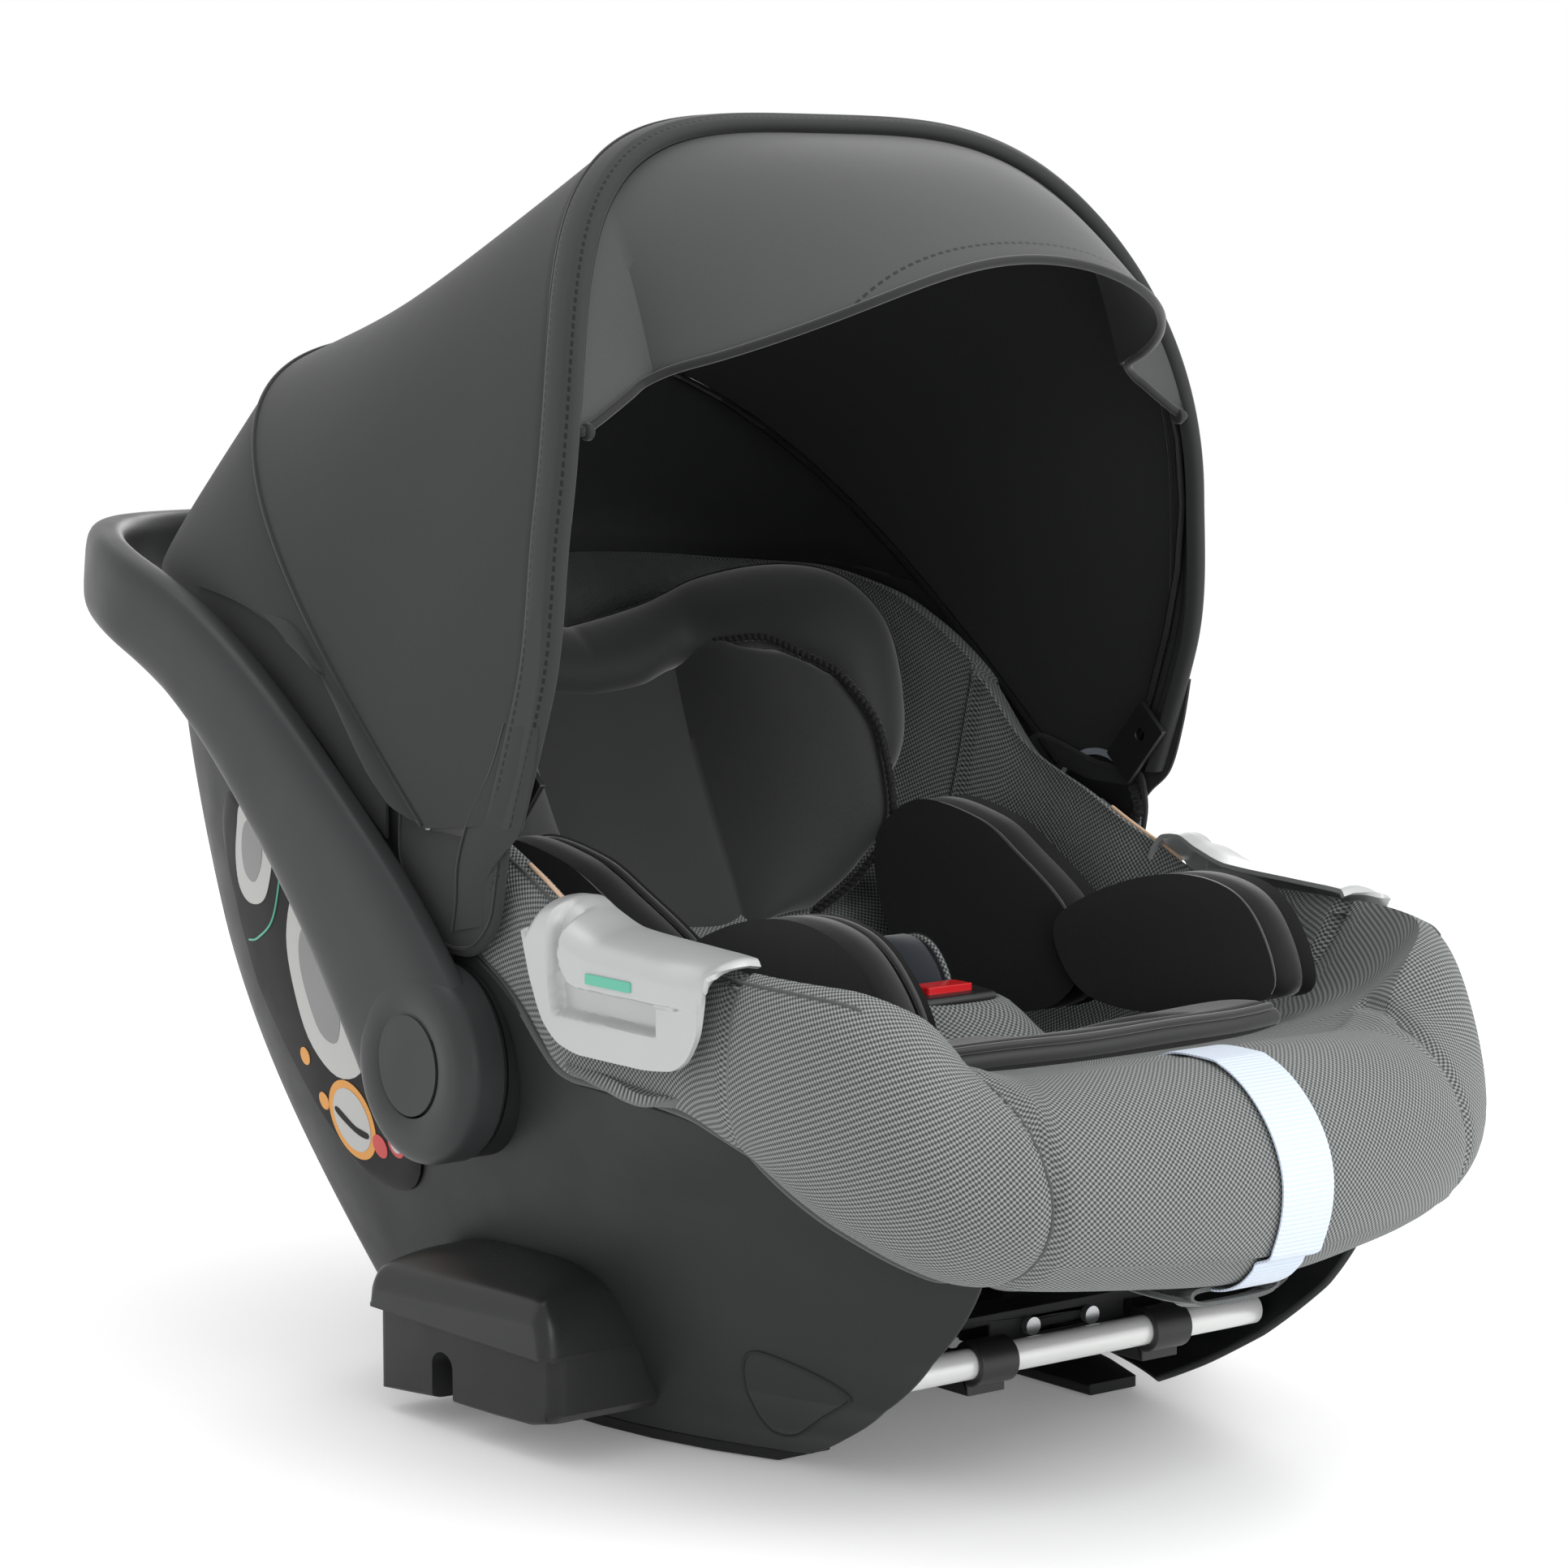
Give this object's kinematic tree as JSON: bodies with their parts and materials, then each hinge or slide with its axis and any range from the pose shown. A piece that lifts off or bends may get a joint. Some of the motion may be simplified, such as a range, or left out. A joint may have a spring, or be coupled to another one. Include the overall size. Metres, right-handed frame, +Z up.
{
  "type": "infant car seat",
  "caption": "Rear-facing infant car seat: tub shell with swinging carry handle, folding canopy with visor, padded cover, insert and head support, harness buckle, belt guides and adapters.",
  "frame": {"origin": "on the floor, under the middle of the bounding box", "axes": "+Z up; the child's feet point to -Y and the head to +Y; +X to the right of someone looking along +Y"},
  "size_m": [0.4452, 0.77, 0.6112],
  "materials": {
    "outer_shell": "moulded, fine texture",
    "base_rim": "moulded",
    "foam_liner": "expanded foam beads",
    "seat_pan": "moulded",
    "hub_flange": "satin",
    "adapter_housing": "satin with glossier corners",
    "adapter_foot": "moulded, fine texture",
    "access_plug": "moulded",
    "side_panel": "smooth printed film",
    "belt_guide": "satin silver paint",
    "guide_mark": "satin green",
    "base_rod": "satin",
    "rod_clamps": "moulded",
    "rod_bracket": "moulded",
    "bracket_screws": "satin",
    "seat_cover": "basket weave",
    "cover_centre": "basket weave",
    "insert_pad": "velvety jersey with piping",
    "hip_wing": "velvety jersey with piping",
    "side_wing": "velvety jersey with piping",
    "head_pillow": "jersey",
    "head_wing": "jersey and spacer mesh with rope piping",
    "head_bolster": "jersey with piping",
    "crotch_pad": "jersey with dotted edge",
    "buckle_body": "moulded",
    "buckle_tongues": "satin",
    "buckle_button": "satin red",
    "adjuster_strap": "woven webbing",
    "strap_loop": "woven webbing",
    "adjuster_housing": "moulded",
    "adjuster_lever": "satin",
    "carry_handle": "satin",
    "handle_button": "satin",
    "canopy_hub": "satin",
    "canopy_pocket": "smooth softshell",
    "hub_rim": "satin",
    "canopy_rear_bow": "satin wire",
    "canopy_front_bow": "satin wire",
    "canopy_rear_panel": "smooth softshell",
    "canopy_main_panel": "smooth softshell",
    "canopy_front_band": "smooth softshell, topstitched",
    "canopy_clip": "satin",
    "visor_panel": "smooth softshell",
    "visor_edge": "piping"
  },
  "bodies": {
    "seat": {"outer_shell": "outer_shell", "base_rim": "base_rim", "foam_liner": "foam_liner", "seat_pan": "seat_pan", "hub_flange_left": "hub_flange", "hub_flange_right": "hub_flange", "adapter_housing_left": "adapter_housing", "adapter_housing_right": "adapter_housing", "adapter_foot_left": "adapter_foot", "adapter_foot_right": "adapter_foot", "access_plug_left": "access_plug", "access_plug_right": "access_plug", "side_panel_left": "side_panel", "side_panel_right": "side_panel", "belt_guide_left": "belt_guide", "belt_guide_right": "belt_guide", "guide_mark_left": "guide_mark", "guide_mark_right": "guide_mark", "base_rod": "base_rod", "rod_clamps": "rod_clamps", "rod_bracket": "rod_bracket", "bracket_screws": "bracket_screws", "seat_cover": "seat_cover", "cover_centre": "cover_centre", "insert_pad": "insert_pad", "hip_wing_left": "hip_wing", "hip_wing_right": "hip_wing", "side_wing_left": "side_wing", "side_wing_right": "side_wing", "head_pillow": "head_pillow", "head_wing_left": "head_wing", "head_wing_right": "head_wing", "head_bolster": "head_bolster", "crotch_pad": "crotch_pad", "buckle_body": "buckle_body", "buckle_tongues": "buckle_tongues", "adjuster_strap": "adjuster_strap", "strap_loop": "strap_loop", "adjuster_housing": "adjuster_housing", "canopy_hub_left": "canopy_hub", "canopy_hub_right": "canopy_hub", "canopy_pocket_left": "canopy_pocket", "canopy_pocket_right": "canopy_pocket", "hub_rim_left": "hub_rim", "hub_rim_right": "hub_rim", "canopy_rear_bow": "canopy_rear_bow", "canopy_rear_panel": "canopy_rear_panel", "canopy_main_panel": "canopy_main_panel"},
    "handle": {"carry_handle": "carry_handle"},
    "handle_button_l": {"handle_button_left": "handle_button"},
    "handle_button_r": {"handle_button_right": "handle_button"},
    "front_bow": {"canopy_front_bow": "canopy_front_bow", "canopy_front_band": "canopy_front_band", "canopy_clip_left": "canopy_clip", "canopy_clip_right": "canopy_clip", "visor_panel": "visor_panel"},
    "visor": {"visor_edge": "visor_edge"},
    "harness_button": {"buckle_button": "buckle_button"},
    "adjuster": {"adjuster_lever": "adjuster_lever"}
  },
  "joints": [
    {"name": "handle_swing", "type": "hinge", "parent": "seat", "child": "handle", "pos_m": [0, -0.026, 0.176], "axis": [1, 0, 0], "range_deg": [0, 62]},
    {"name": "handle_button_left_press", "type": "slide", "parent": "handle", "child": "handle_button_l", "axis": [1, 0, 0], "range_m": [0, 0.0035], "stiffness_N_per_m": 700},
    {"name": "handle_button_right_press", "type": "slide", "parent": "handle", "child": "handle_button_r", "axis": [-1, 0, 0], "range_m": [0, 0.0035], "stiffness_N_per_m": 700},
    {"name": "canopy_fold", "type": "hinge", "parent": "seat", "child": "front_bow", "pos_m": [0, -0.033, 0.262], "axis": [1, 0, 0], "range_deg": [-42, 0], "deforming": ["canopy_main_panel"]},
    {"name": "visor_tuck", "type": "hinge", "parent": "front_bow", "child": "visor", "pos_m": [0, -0.11, 0.468], "axis": [1, 0, 0], "range_deg": [-34, 0], "deforming": ["visor_panel"]},
    {"name": "buckle_press", "type": "slide", "parent": "seat", "child": "harness_button", "axis": [0, 0, -1], "range_m": [0, 0.003], "stiffness_N_per_m": 700},
    {"name": "adjuster_tilt", "type": "hinge", "parent": "seat", "child": "adjuster", "pos_m": [0, -0.276, 0.16], "axis": [1, 0, 0], "range_deg": [-10, 0], "stiffness_Nm_per_rad": 0.5}
  ]
}
